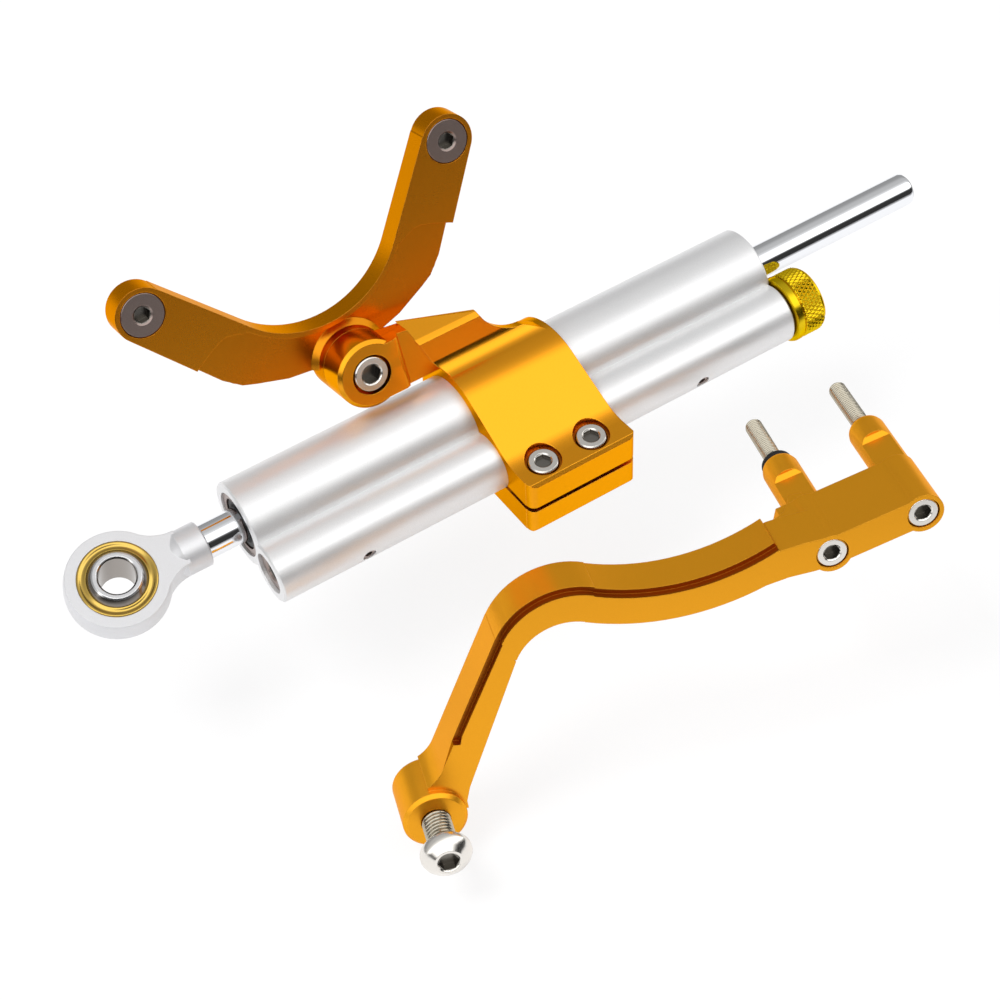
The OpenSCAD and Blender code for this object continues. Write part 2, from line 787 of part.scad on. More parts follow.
module leg_body() {
  difference() {
    rotate_extrude() polygon([[0, -leg_len], [leg_r - nose, -leg_len],
      [leg_r - nose * 0.5, -leg_len + nose * 0.13], [leg_r - nose * 0.13, -leg_len + nose * 0.5],
      [leg_r, -leg_len + nose], [leg_r, -yoke_depth + 2], [0, -yoke_depth + 2]]);
    rotate([0, 0, bolt_lean]) rotate([0, -90, 0]) translate([0, 0, -10]) linear_extrude(height = 20)
      polygon([[-leg_flat_end, leg_flat], [-leg_flat_end - 1.2, leg_flat + 1.2], [-leg_flat_end - 1.2, 8],
        [-yoke_depth + 0.01, 8], [-yoke_depth + 0.01, leg_flat]]);
  }
}

module leg_shoulder() {
  out = arm_depth + 0.8;
  down = yoke_depth + 3.6;
  translate([0, 3.8, 0]) rotate([90, 0, 0]) linear_extrude(height = 8.0)
    polygon([[-4.0, -down], [-5.0, 3.4 - down], [-7.2, 6.6 - down], [-10.4, 9.0 - down],
      [-out, 0.1 - arm_depth], [-out, 1 - arm_depth], [0, 1 - arm_depth], [0, -down]]);
}

module arm_bracket() {
  color([0.85, 0.52, 0.06]) in_arm() difference() {
    union() {
      translate([0, 0, -arm_depth]) linear_extrude(height = arm_depth) arm_outline();
      translate([0, 0, -yoke_depth]) linear_extrude(height = yoke_depth) yoke_outline();
      leg_shoulder();
      leg_body();
      translate(bolt2) leg_body();
      translate(boss_c) rotate_extrude() polygon([[0, -arm_depth], [boss_r, -arm_depth],
        [boss_r, boss_proud - 1], [boss_r - 1, boss_proud], [0, boss_proud]]);
    }
    translate([0, 0, -rebate_deep]) linear_extrude(height = 3) rebate_shape();
    for (p = [[0, 0], bolt2]) translate(p) {
      translate([0, 0, -leg_len - cut]) cylinder(r = m5_r + run_gap, h = leg_len + 3);
      translate([0, 0, -m5_head - 0.3]) cylinder(r = sink_r, h = m5_head + 3);
    }
    translate(boss_c) translate([0, 0, -arm_depth - cut]) cylinder(r = m8_r + fit_gap, h = arm_depth + 5);
  }
}

module yoke_bolt(p, covered) {
  color([0.72, 0.72, 0.72]) in_arm() translate([p[0], p[1], -m5_head - head_sink]) difference() {
    cap_screw(m5_r, m5_head_r, m5_head, m5_hex_r, arm_bolt_len - m5_head);
    translate([0, 0, m5_head + head_sink - covered - tip_gap])
      tube(m5_r + cut, m5_r - waist, covered + tip_gap - m5_head - head_sink);
  }
}

module arm_bolt_left() {
  yoke_bolt([0, 0], leg_len + 2 * o_ring_r);
}

module arm_bolt_right() {
  yoke_bolt(bolt2, leg_len);
}

module arm_o_ring() {
  color([0.05, 0.05, 0.05]) in_arm() translate([0, 0, -leg_len - o_ring_r])
    torus(m5_r - waist + o_ring_r + fit_gap, o_ring_r);
}

module button_bolt() {
  color([0.72, 0.72, 0.72]) in_arm() translate([boss_c[0], boss_c[1], 0]) difference() {
    union() {
      translate([0, 0, -m8_in]) broken_disc(m8_r, m8_in + m8_out + cut, 0.6);
      translate([0, 0, m8_out]) rotate_extrude() polygon([[0, 0], [m8_head_r - 0.3, 0],
        [m8_head_r, 0.3], [m8_head_r, 1.0], [6.6, 1.9], [5.9, 2.8], [4.9, 3.6], [3.9, m8_head],
        [0, m8_head]]);
    }
    translate([0, 0, m8_out + m8_head - 2.6]) cylinder(r = m8_hex_r, h = 4, $fn = 6);
    translate([0, 0, m8_out + m8_head - 0.4]) cylinder(r1 = m8_hex_r - 0.1, r2 = m8_hex_r + 0.3, h = 0.41);
  }
}

damper_body();
gland_left();
gland_right();
wiper_left();
wiper_right();
clip_left();
clip_right();
piston();
piston_ring();
piston_rod();
rod_end_housing();
rod_end_race();
rod_end_ball();
bypass_plug();
plug_o_ring();
grub_screws();
adjuster_knob();
adjuster_spindle();
spindle_o_ring();
detent_ball();
clamp();
clamp_bolts();
pivot_bush();
pivot_bolt();
crescent_bracket();
bracket_screw_left();
bracket_screw_right();
arm_bracket();
arm_bolt_left();
arm_bolt_right();
arm_o_ring();
button_bolt();
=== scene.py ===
"""Looks of a motorcycle steering damper with its clamp, crescent bracket and S-shaped arm.

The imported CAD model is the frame. Each class below dresses one sub-assembly: it keeps the CAD
outlines, gives them smooth normals and a procedural finish, and adds the detail that the solids
leave out, such as the knurl and the threads. Sizes and places in the classes are millimetres in
the row frame, and Place.out() turns them into the metres that Blender gets.
"""
from __future__ import annotations

import json
import logging
import math
from dataclasses import dataclass
from typing import Callable, Protocol, Sequence, Union

import bpy
import numpy as np
from mathutils import Euler, Matrix, Vector

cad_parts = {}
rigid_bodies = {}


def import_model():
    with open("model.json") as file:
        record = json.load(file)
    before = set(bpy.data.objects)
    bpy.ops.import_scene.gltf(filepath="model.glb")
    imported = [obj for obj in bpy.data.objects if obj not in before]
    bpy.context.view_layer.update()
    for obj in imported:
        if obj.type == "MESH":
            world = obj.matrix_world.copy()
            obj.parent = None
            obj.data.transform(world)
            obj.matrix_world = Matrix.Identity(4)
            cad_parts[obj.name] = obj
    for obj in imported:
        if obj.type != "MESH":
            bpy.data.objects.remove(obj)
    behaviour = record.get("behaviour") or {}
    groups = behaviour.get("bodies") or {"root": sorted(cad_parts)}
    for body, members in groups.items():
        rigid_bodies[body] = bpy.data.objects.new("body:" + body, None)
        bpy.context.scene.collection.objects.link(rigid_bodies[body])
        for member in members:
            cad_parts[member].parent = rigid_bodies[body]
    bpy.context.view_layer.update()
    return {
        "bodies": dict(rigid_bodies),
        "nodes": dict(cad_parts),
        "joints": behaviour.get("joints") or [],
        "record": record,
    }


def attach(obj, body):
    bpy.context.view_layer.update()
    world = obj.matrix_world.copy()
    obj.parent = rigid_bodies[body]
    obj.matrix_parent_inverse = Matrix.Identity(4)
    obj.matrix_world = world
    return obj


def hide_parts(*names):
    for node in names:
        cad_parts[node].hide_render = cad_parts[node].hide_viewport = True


LOG = logging.getLogger("steering_damper")
MM = 0.001
Number = Union[int, float]
Colour = tuple[float, float, float]


# ---------------------------------------------------------------- shader expressions


class Port:
    """One output socket of a shader tree, with the usual operators for maths on it."""

    def __init__(self, tree: "Shader", socket: bpy.types.NodeSocket) -> None:
        """Keeps the tree that owns the socket."""
        self.tree = tree
        self.socket = socket

    def _math(self, kind: str, *values: "PortLike", clamp: bool = False) -> "Port":
        """Adds a Math node of that kind and returns its result."""
        settings = {"operation": kind, "use_clamp": clamp}
        return self.tree.node("ShaderNodeMath", settings, dict(enumerate(values)))

    def __add__(self, other: "PortLike") -> "Port":
        """self + other."""
        return self._math("ADD", self, other)

    def __sub__(self, other: "PortLike") -> "Port":
        """self - other."""
        return self._math("SUBTRACT", self, other)

    def __rsub__(self, other: "PortLike") -> "Port":
        """other - self."""
        return self._math("SUBTRACT", other, self)

    def __mul__(self, other: "PortLike") -> "Port":
        """self * other."""
        return self._math("MULTIPLY", self, other)

    def __truediv__(self, other: "PortLike") -> "Port":
        """self / other."""
        return self._math("DIVIDE", self, other)

    __radd__ = __add__
    __rmul__ = __mul__

    def above(self, edge: Number, soft: Number) -> "Port":
        """Smooth step from 0 to 1 as the value passes edge, soft wide."""
        ports = {"Value": self, "From Min": edge - soft / 2, "From Max": edge + soft / 2}
        return self.tree.node("ShaderNodeMapRange", {"interpolation_type": "SMOOTHSTEP"}, ports)

    def clamp(self) -> "Port":
        """The value held between 0 and 1."""
        return self._math("ADD", self, 0.0, clamp=True)


PortLike = Union[Port, Number, Sequence[float]]


class Shader:
    """A node tree of a material or a world, built by calls."""

    def __init__(self, tree: bpy.types.NodeTree) -> None:
        """Empties the tree.

        Args:
            tree: The node tree to build in.
        """
        self.tree = tree
        tree.nodes.clear()

    def node(
        self,
        kind: str,
        settings: dict[str, object] | None = None,
        ports: dict[str | int, PortLike] | None = None,
        output: str | int = 0,
    ) -> Port:
        """Adds one node.

        Args:
            kind: The node's type.
            settings: Attributes, set before the sockets; a ramp takes "stops".
            ports: Values or ports by socket name or number.
            output: The output that is returned.

        Returns:
            The chosen output as a Port.
        """
        made = self.tree.nodes.new(kind)
        for name, value in (settings or {}).items():
            if name == "stops":
                self._stops(made.color_ramp, value)
            else:
                setattr(made, name, value)
        for name, value in (ports or {}).items():
            self.plug(made.inputs[name], value)
        if not made.outputs:
            return Port(self, made.inputs[0])
        return Port(self, made.outputs[output])

    @staticmethod
    def _stops(ramp: bpy.types.ColorRamp, stops: Sequence[tuple[float, Colour]]) -> None:
        """Sets a ramp's stops from (place, colour) pairs."""
        while len(ramp.elements) < len(stops):
            ramp.elements.new(0.5)
        for element, (place, colour) in zip(ramp.elements, stops):
            element.position = place
            element.color = (*colour, 1.0)

    def plug(self, socket: bpy.types.NodeSocket, value: PortLike) -> None:
        """Links a port to a socket, or sets the socket's own value."""
        if isinstance(value, Port):
            self.tree.links.new(value.socket, socket)
        elif isinstance(value, (int, float)):
            socket.default_value = value
        else:
            size = len(socket.default_value)
            socket.default_value = tuple(value) + (1.0,) * (size - len(value))

    def split(self, vector: Port) -> tuple[Port, Port, Port]:
        """The three parts of a vector."""
        made = self.node("ShaderNodeSeparateXYZ", None, {0: vector}).socket.node
        return tuple(Port(self, made.outputs[i]) for i in range(3))

    def mix(self, factor: PortLike, first: PortLike, second: PortLike) -> Port:
        """Mixes two colours; factor 0 gives the first."""
        made = self.tree.nodes.new("ShaderNodeMix")
        made.data_type = "RGBA"
        for name, value in (("Factor_Float", factor), ("A_Color", first), ("B_Color", second)):
            self.plug(next(s for s in made.inputs if s.identifier == name), value)
        return Port(self, next(s for s in made.outputs if s.identifier == "Result_Color"))

    def noise(self, place: Port, scale: Number, detail: Number = 2.0) -> Port:
        """Noise from 0 to 1 at that many cells a metre."""
        ports = {"Vector": place, "Scale": scale, "Detail": detail, "Roughness": 0.5}
        return self.node("ShaderNodeTexNoise", None, ports)


# ---------------------------------------------------------------- finishes


# Cells a metre of the fine grain and of the marks that handling leaves.
GRAIN_CELLS = 6000.0
HANDLING_CELLS = 60.0
GRAIN_DEPTH = 0.04 * MM
EDGE_SAMPLES = 6
# How fast the painted edge highlight sets in as the rounded normal leaves the flat one, and how
# it pales the colour.
EDGE_HIGHLIGHT_GAIN = 6.0
EDGE_HIGHLIGHT_SCALE = 1.25
EDGE_HIGHLIGHT_LIFT = 0.05


@dataclass(frozen=True)
class Finish:
    """A surface finish as numbers; build() makes its material.

    Attributes:
        name: The material's name.
        colour: The metal's own colour.
        metallic: The share that reflects as metal.
        roughness: The mean roughness.
        grain: How strongly the fine grain stands out in the bump.
        spread: How far the grain and the handling move the roughness.
        edge_mm: The radius of the shaded round on edges.
        edge_highlight: How much paler an edge is painted, as a painted highlight.
        tint: How much darker the grain's hollows are.
        rim: The colour of a metal seen at a grazing angle.
        gloss: The reflection of the part that isn't metal.
    """

    name: str
    colour: Colour
    metallic: float = 1.0
    roughness: float = 0.3
    grain: float = 0.0
    spread: float = 0.04
    edge_mm: float = 0.3
    edge_highlight: float = 0.0
    tint: float = 0.08
    rim: Colour = (1.0, 1.0, 1.0)
    gloss: float = 0.5

    def build(self) -> bpy.types.Material:
        """Makes the material.

        Fine noise gives the grain: it moves the roughness, tones the colour and feeds the
        bump. A slow noise moves the roughness a little, as handling does. Edges get a small
        round, and are painted paler by edge_highlight as a painted edge highlight.

        Returns:
            The new material.
        """
        material = bpy.data.materials.new(self.name)
        material.use_nodes = True
        sh = Shader(material.node_tree)
        place = sh.node("ShaderNodeTexCoord", None, None, "Object")
        fine = sh.noise(place, GRAIN_CELLS)
        slow = sh.noise(place, HANDLING_CELLS, 3.0)
        deep = tuple(c * (1.0 - 2.0 * self.tint) for c in self.colour)
        colour = sh.mix(fine.above(0.5, 0.6), deep, self.colour)
        rough = (slow - 0.5) * self.spread + (fine - 0.5) * self.spread + self.roughness
        radius = {"Radius": self.edge_mm * MM}
        round_edge = sh.node("ShaderNodeBevel", {"samples": EDGE_SAMPLES}, radius)
        # Painted highlight: the colour is painted paler along edges, where the rounded normal
        # leaves the flat one.
        if self.edge_highlight > 0:
            flat = sh.node("ShaderNodeNewGeometry", None, None, "Normal")
            dot = {"operation": "DOT_PRODUCT"}
            along = sh.node("ShaderNodeVectorMath", dot, {0: round_edge, 1: flat}, "Value")
            edge_highlight_share = ((1.0 - along) * EDGE_HIGHLIGHT_GAIN).clamp() * self.edge_highlight
            pale = tuple(min(1.0, c * EDGE_HIGHLIGHT_SCALE + EDGE_HIGHLIGHT_LIFT) for c in self.colour)
            colour = sh.mix(edge_highlight_share, colour, pale)
        normal = round_edge
        if self.grain > 0:
            bump = {"Strength": self.grain, "Distance": GRAIN_DEPTH, "Height": fine}
            normal = sh.node("ShaderNodeBump", None, {**bump, "Normal": round_edge})
        ports = {
            "Base Color": colour,
            "Metallic": self.metallic,
            "Roughness": rough,
            "Specular Tint": self.rim,
            "Specular IOR Level": self.gloss,
            "Normal": normal,
        }
        body = sh.node("ShaderNodeBsdfPrincipled", None, ports)
        sh.node("ShaderNodeOutputMaterial", None, {"Surface": body})
        return material


GOLD_RIM: Colour = (0.95, 0.62, 0.18)
SATIN_BODY = Finish(
    "satin_body", (0.78, 0.78, 0.78),
    metallic=0.68, roughness=0.40, grain=0.7, spread=0.14, tint=0.06, gloss=0.3,
)
EYE_SATIN = Finish(
    "eye_satin", (0.69, 0.69, 0.70),
    metallic=0.68, roughness=0.45, grain=0.5, edge_highlight=0.4, tint=0.04, gloss=0.3,
)
GOLD = Finish(
    "gold_anodise", (0.84, 0.34, 0.016),
    roughness=0.25, grain=0.12, edge_highlight=0.25, tint=0.03, rim=GOLD_RIM,
)
ARM_GOLD = Finish(
    "arm_anodise", (0.82, 0.35, 0.016),
    metallic=0.8, roughness=0.32, grain=0.12, edge_highlight=0.25, tint=0.03, rim=GOLD_RIM,
)
DARK_GOLD = Finish(
    "crescent_anodise", (0.68, 0.24, 0.010),
    roughness=0.28, grain=0.12, edge_highlight=0.25, tint=0.03, rim=GOLD_RIM,
)
# Painted shade: a dark copy of the gold anodise for the clamp's bolt recesses and the S-arm's
# milled step.
GROOVE_PAINTED_SHADE = Finish(
    "groove_painted_shade", (0.40, 0.125, 0.010), roughness=0.4, grain=0.2, tint=0.06, rim=GOLD_RIM
)
KNOB_GOLD = Finish(
    "knob_anodise", (0.72, 0.50, 0.012), roughness=0.22, edge_mm=0.12, tint=0.04, rim=GOLD_RIM
)
CHROME = Finish(
    "chromed_rod", (0.80, 0.81, 0.83), roughness=0.07, spread=0.01, edge_mm=0.2, tint=0.01
)
# Painted reflection: a near black copy of the chrome for the rod's tip, standing for the dark rim
# of its domed end.
ROD_TIP_PAINTED_DARK = Finish(
    "rod_end", (0.16, 0.16, 0.165), roughness=0.2, spread=0.02, edge_mm=0.3, tint=0.03
)
# Painted reflection: a dark copy of the ball's steel for its sphere and bore.
BALL_PAINTED_SHADE = Finish(
    "ball_painted_shade", (0.25, 0.225, 0.20), roughness=0.2, spread=0.02, edge_mm=0.2, tint=0.03
)
BALL_FACE = Finish(
    "ball_face", (0.80, 0.80, 0.81), roughness=0.2, spread=0.03, edge_mm=0.3, tint=0.03
)
STAINLESS = Finish(
    "stainless_heads", (0.76, 0.73, 0.68), roughness=0.2, grain=0.08, edge_mm=0.2, tint=0.05
)
THREADS = Finish("stainless_threads", (0.50, 0.46, 0.37), roughness=0.25, edge_mm=0.05, tint=0.08)
DARK_STEEL = Finish(
    "dark_screws", (0.33, 0.26, 0.235), roughness=0.34, grain=0.2, edge_mm=0.15, tint=0.1
)
# Painted shade: a dark copy of the steel for the faces inside hexagon sockets.
SOCKET_PAINTED_SHADE = Finish("socket_painted_shade", (0.24, 0.225, 0.20), roughness=0.3, edge_mm=0.1, tint=0.2)
BRASS = Finish("brass_race", (0.62, 0.42, 0.10), roughness=0.16, edge_mm=0.2, tint=0.06)
GLAND = Finish("gland_alloy", (0.62, 0.62, 0.63), roughness=0.34, grain=0.2, tint=0.05)
RUBBER = Finish(
    "black_rubber", (0.012, 0.012, 0.012),
    metallic=0.0, roughness=0.5, edge_mm=0.2, tint=0.2, gloss=0.25,
)
PLASTIC = Finish("ring_plastic", (0.05, 0.09, 0.08), metallic=0.0, roughness=0.4, tint=0.2)


# ---------------------------------------------------------------- places and shapes


def turned(x_deg: float, y_deg: float = 0.0, z_deg: float = 0.0) -> np.ndarray:
    """A turn about X, then Y, then Z, as a 3 by 3 matrix whose columns are the local axes."""
    return np.array(Euler([math.radians(a) for a in (x_deg, y_deg, z_deg)]).to_matrix())


@dataclass(frozen=True)
class Place:
    """A local frame: an origin in millimetres and a turn."""

    origin_mm: tuple[float, float, float]
    turn: np.ndarray

    def moved(self, x: float, y: float, z: float) -> "Place":
        """The same turn with its origin moved, in local millimetres."""
        origin = np.array(self.origin_mm) + self.turn @ np.array([x, y, z])
        return Place(tuple(origin), self.turn)

    def out(self, local_mm: np.ndarray) -> np.ndarray:
        """Local millimetres to metres in the row frame."""
        return (np.asarray(local_mm) @ self.turn.T + np.array(self.origin_mm)) * MM

    def into(self, world: np.ndarray) -> np.ndarray:
        """Metres in the row frame to local millimetres."""
        return (np.asarray(world) / MM - np.array(self.origin_mm)) @ self.turn

    def about(self, world: np.ndarray) -> tuple[np.ndarray, np.ndarray]:
        """Distance from the local Z axis and height along it, in millimetres."""
        local = self.into(world)
        return np.hypot(local[:, 0], local[:, 1]), local[:, 2]


Mesh = tuple[np.ndarray, list[tuple[int, ...]]]


def round_grid(radius: np.ndarray, height: np.ndarray, wrap: bool = False) -> Mesh:
    """A closed surface about Z from a grid of radii.

    Row i, column j lies at angle 2 pi j / columns, radius[i, j] from the axis and height[i]
    along it. The rows go up along an outer side.

    Args:
        radius: Radii, (rows, columns).
        height: Height of each row, or of each point.
        wrap: True joins the last row to the first; False closes both ends with a fan.

    Returns:
        Points and faces.
    """
    rows, columns = radius.shape
    angle = np.broadcast_to(np.arange(columns) * 2 * np.pi / columns, radius.shape)
    tall = np.broadcast_to(height.reshape(rows, -1), radius.shape)
    points = np.stack([radius * np.cos(angle), radius * np.sin(angle), tall], axis=-1)
    points = points.reshape(-1, 3)
    low = np.arange(rows if wrap else rows - 1)
    i, j = (a.reshape(-1) for a in np.meshgrid(low, np.arange(columns), indexing="ij"))
    over, beside = (i + 1) % rows, (j + 1) % columns
    this_row, next_row = i * columns, over * columns
    quads = np.stack([this_row + j, this_row + beside, next_row + beside, next_row + j], axis=-1)
    faces = [tuple(q) for q in quads.tolist()]
    if not wrap:
        points = np.vstack([points, [0, 0, tall[0, 0]], [0, 0, tall[-1, 0]]])
        around, after = np.arange(columns), (np.arange(columns) + 1) % columns
        foot = np.stack([after, around, np.full(columns, rows * columns)], axis=-1)
        top = (rows - 1) * columns
        cap = np.stack([top + around, top + after, np.full(columns, rows * columns + 1)], axis=-1)
        faces += [tuple(f) for f in foot.tolist()] + [tuple(f) for f in cap.tolist()]
    return points, faces


@dataclass(frozen=True)
class Thread:
    """An outside screw thread about the local Z, from one height to another, in millimetres."""

    radius: float
    pitch: float
    low: float
    high: float
    columns: int = 48
    rows_per_turn: int = 8
    tip_break: float = 0.5
    depth_share: float = 0.61
    crest_flat: float = 0.1
    flank_width: float = 0.72
    root_share: float = 1.05
    tip_share: float = 0.4

    def mesh(self) -> Mesh:
        """The threaded stud.

        At height h and angle a, the turn phase is h / pitch - a / 2 pi. The radius falls from
        the crest by the thread's depth times a rounded V of that phase, and both ends are
        broken at 45 degrees.

        Returns:
            Points and faces.
        """
        depth = self.depth_share * self.pitch
        rows = int((self.high - self.low) / self.pitch * self.rows_per_turn)
        height = np.linspace(self.low, self.high, rows)
        angle = np.arange(self.columns) / self.columns
        phase = (height[:, None] / self.pitch - angle[None, :]) % 1.0
        flank = np.abs(phase * 2.0 - 1.0)
        groove = 1.0 - np.clip((flank - self.crest_flat) / self.flank_width, 0.0, 1.0)
        end = np.minimum(height - self.low, self.high - height)[:, None]
        root = self.radius - depth * self.root_share
        broken = root + self.tip_break * self.tip_share + end
        return round_grid(np.minimum(self.radius - depth * groove, broken), height)


@dataclass(frozen=True)
class Knurl:
    """A diamond knurl about the local Z, in millimetres."""

    radius: float
    low: float
    high: float
    depth: float = 0.42
    starts: int = 44
    lead_angle_deg: float = 32.0
    tent_share: float = 0.8
    fade: float = 0.35
    wall: float = 0.6
    columns: int = 528
    rows: int = 64

    def mesh(self) -> Mesh:
        """The knurled sleeve as a closed ring.

        Two sets of V grooves run round at plus and minus the lead angle. With u and v the
        phases across the two sets, the height is the lesser of two tents, cut flat at the top,
        which leaves pyramids. They fade out at both ends.

        Returns:
            Points and faces.
        """
        height = np.linspace(self.low, self.high, self.rows)
        angle = np.arange(self.columns) / self.columns
        lead = math.tan(math.radians(self.lead_angle_deg))
        rise = self.starts * lead / (2 * math.pi * self.radius)
        u = (angle[None, :] * self.starts + height[:, None] * rise) % 1.0
        v = (angle[None, :] * self.starts - height[:, None] * rise) % 1.0
        tents = np.minimum(1.0 - np.abs(u * 2 - 1), 1.0 - np.abs(v * 2 - 1))
        crest = np.clip(tents / self.tent_share, 0.0, 1.0)
        from_end = np.minimum(height - self.low, self.high - height)
        end = np.clip(from_end / self.fade, 0.0, 1.0)[:, None]
        outer = self.radius - self.depth * (1.0 - end * crest)
        inner = np.full((2, self.columns), self.radius - self.depth - self.wall)
        rings = np.vstack([inner[:1], outer, inner[1:]])
        tall = np.concatenate([[self.low], height, [self.high]])
        return round_grid(rings, tall, wrap=True)


@dataclass(frozen=True)
class Recess:
    """A round or hexagonal recess that opens along local +Z at its place, in millimetres; its
    faces get a painted shade.
    """

    place: Place
    radius: float
    deep: float = 3.4
    lip: float = 0.3

    def holds(self, centres: np.ndarray) -> np.ndarray:
        """True for each face centre, in metres, inside the recess and below its lip."""
        across, height = self.place.about(centres)
        return (across < self.radius) & (height < -self.lip) & (height > -self.deep)


@dataclass(frozen=True)
class Rebate:
    """The narrow step milled along the S-arm's front edge, clear of the bolts, in millimetres;
    its faces get a painted shade.
    """

    place: Place
    deep: float
    bolts: tuple[tuple[float, float], ...]
    clear: float = 5.2
    lip: float = 0.3
    slack: float = 0.02

    def holds(self, centres: np.ndarray) -> np.ndarray:
        """True for each face centre, in metres, on the step's floor or its wall."""
        local = self.place.into(centres)
        inside = (local[:, 2] < -self.lip) & (local[:, 2] > -self.deep - self.slack)
        for x, y in self.bolts:
            inside &= np.hypot(local[:, 0] - x, local[:, 1] - y) > self.clear
        return inside


@dataclass(frozen=True)
class PastX:
    """All of a node's surface to the right of one X, in millimetres."""

    x: float

    def holds(self, centres: np.ndarray) -> np.ndarray:
        """True for each face centre, in metres, that lies past the X."""
        return centres[:, 0] > self.x * MM


class Region(Protocol):
    """A part of a node's surface that is painted darker, as painted shade or painted reflection.
    """

    def holds(self, centres: np.ndarray) -> np.ndarray:
        """True for each face centre, in metres, that lies in the region."""


# ---------------------------------------------------------------- dressing CAD nodes


CREASE_DEG = 28.0
THREAD_CREASE_DEG = 50.0
MERGE_STEP = 2e-7
FLAT_WEIGHT = 60


class Dresser:
    """Dresses the frame's CAD nodes and adds new pieces."""

    def __init__(self, frame: dict[str, object]) -> None:
        """Keeps the frame's nodes and bodies.
        """
        self.nodes = frame["nodes"]
        self.body_of = {
            node: body
            for body, members in frame["record"]["behaviour"]["bodies"].items()
            for node in members
        }
        self._made: dict[str, bpy.types.Material] = {}

    def material(self, finish: Finish) -> bpy.types.Material:
        """The material of a finish, built once."""
        if finish.name not in self._made:
            self._made[finish.name] = finish.build()
        return self._made[finish.name]

    def skin(
        self,
        node: str,
        finish: Finish,
        regions: Sequence[Region] = (),
        shift: Callable[[np.ndarray], np.ndarray] | None = None,
        inner: Finish = SOCKET_PAINTED_SHADE,
    ) -> bpy.types.Object:
        """Shows a CAD node through a merged copy with smooth curved faces.

        Args:
            node: The CAD node.
            finish: Its surface finish.
            regions: Parts of the surface, such as hexagon sockets, painted darker as painted
                shade or painted reflection.
            shift: Moves the copy's points where another piece takes over part of the node.
            inner: The darker finish of those regions, which paints the shade or reflection.

        Returns:
            The copy, which replaces the node.
        """
        source = self.nodes[node].data
        points = np.empty(len(source.vertices) * 3)
        source.vertices.foreach_get("co", points)
        corners = np.empty(len(source.loops), dtype=np.int64)
        source.loops.foreach_get("vertex_index", corners)
        keys = np.round(points.reshape(-1, 3) / MERGE_STEP).astype(np.int64)
        _, first, merged = np.unique(keys, axis=0, return_index=True, return_inverse=True)
        places = points.reshape(-1, 3)[first]
        faces = merged.reshape(-1)[corners].reshape(-1, 3)
        faces = faces[np.all(faces != np.roll(faces, 1, axis=1), axis=1)]
        centres = places[faces].mean(axis=1)
        if shift:
            places = shift(places)
        piece = self.piece(node + "_skin", places, faces, finish, self.body_of[node])
        # Painted shade: the faces in the regions get the darker finish.
        if regions:
            inside = np.any([region.holds(centres) for region in regions], axis=0)
            piece.data.materials.append(self.material(inner))
            piece.data.polygons.foreach_set("material_index", inside.astype(np.int32))
        piece.data.set_sharp_from_angle(angle=math.radians(CREASE_DEG))
        weighted = piece.modifiers.new("flat_faces", "WEIGHTED_NORMAL")
        weighted.keep_sharp = True
        weighted.weight = FLAT_WEIGHT
        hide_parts(node)
        return piece

    def piece(
        self,
        name: str,
        points: np.ndarray,
        faces: Sequence[Sequence[int]],
        finish: Finish,
        body: str,
    ) -> bpy.types.Object:
        """Makes a smooth mesh piece that rides on a body.

        Args:
            name: The piece's name.
            points: Its vertices, (n, 3), in the row frame.
            faces: Its faces, as vertex numbers.
            finish: Its surface finish.
            body: The body it rides on.

        Returns:
            The new object.
        """
        mesh = bpy.data.meshes.new(name)
        corners = [tuple(int(i) for i in face) for face in faces]
        mesh.from_pydata(np.asarray(points, float).tolist(), [], corners)
        mesh.polygons.foreach_set("use_smooth", np.ones(len(mesh.polygons), dtype=bool))
        mesh.update()
        mesh.materials.append(self.material(finish))
        made = bpy.data.objects.new(name, mesh)
        bpy.context.scene.collection.objects.link(made)
        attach(made, body)
        LOG.info("%s on %s: %d faces", name, body, len(mesh.polygons))
        return made

    def stud(self, node: str, place: Place, thread: Thread) -> None:
        """Adds the threaded part of a stainless bolt, and rides it on the bolt's body.

        Args:
            node: The bolt's CAD node.
            place: The frame whose Z is the bolt's axis.
            thread: The thread's sizes.
        """
        points, faces = thread.mesh()
        name = node + "_thread"
        made = self.piece(name, place.out(points), faces, THREADS, self.body_of[node])
        made.data.set_sharp_from_angle(angle=math.radians(THREAD_CREASE_DEG))


# ---------------------------------------------------------------- sub-assemblies

# Radius that holds the walls of a 4 mm and of a 5 mm hexagon, in millimetres.
HEX_4MM = 2.36
HEX_5MM = 2.95


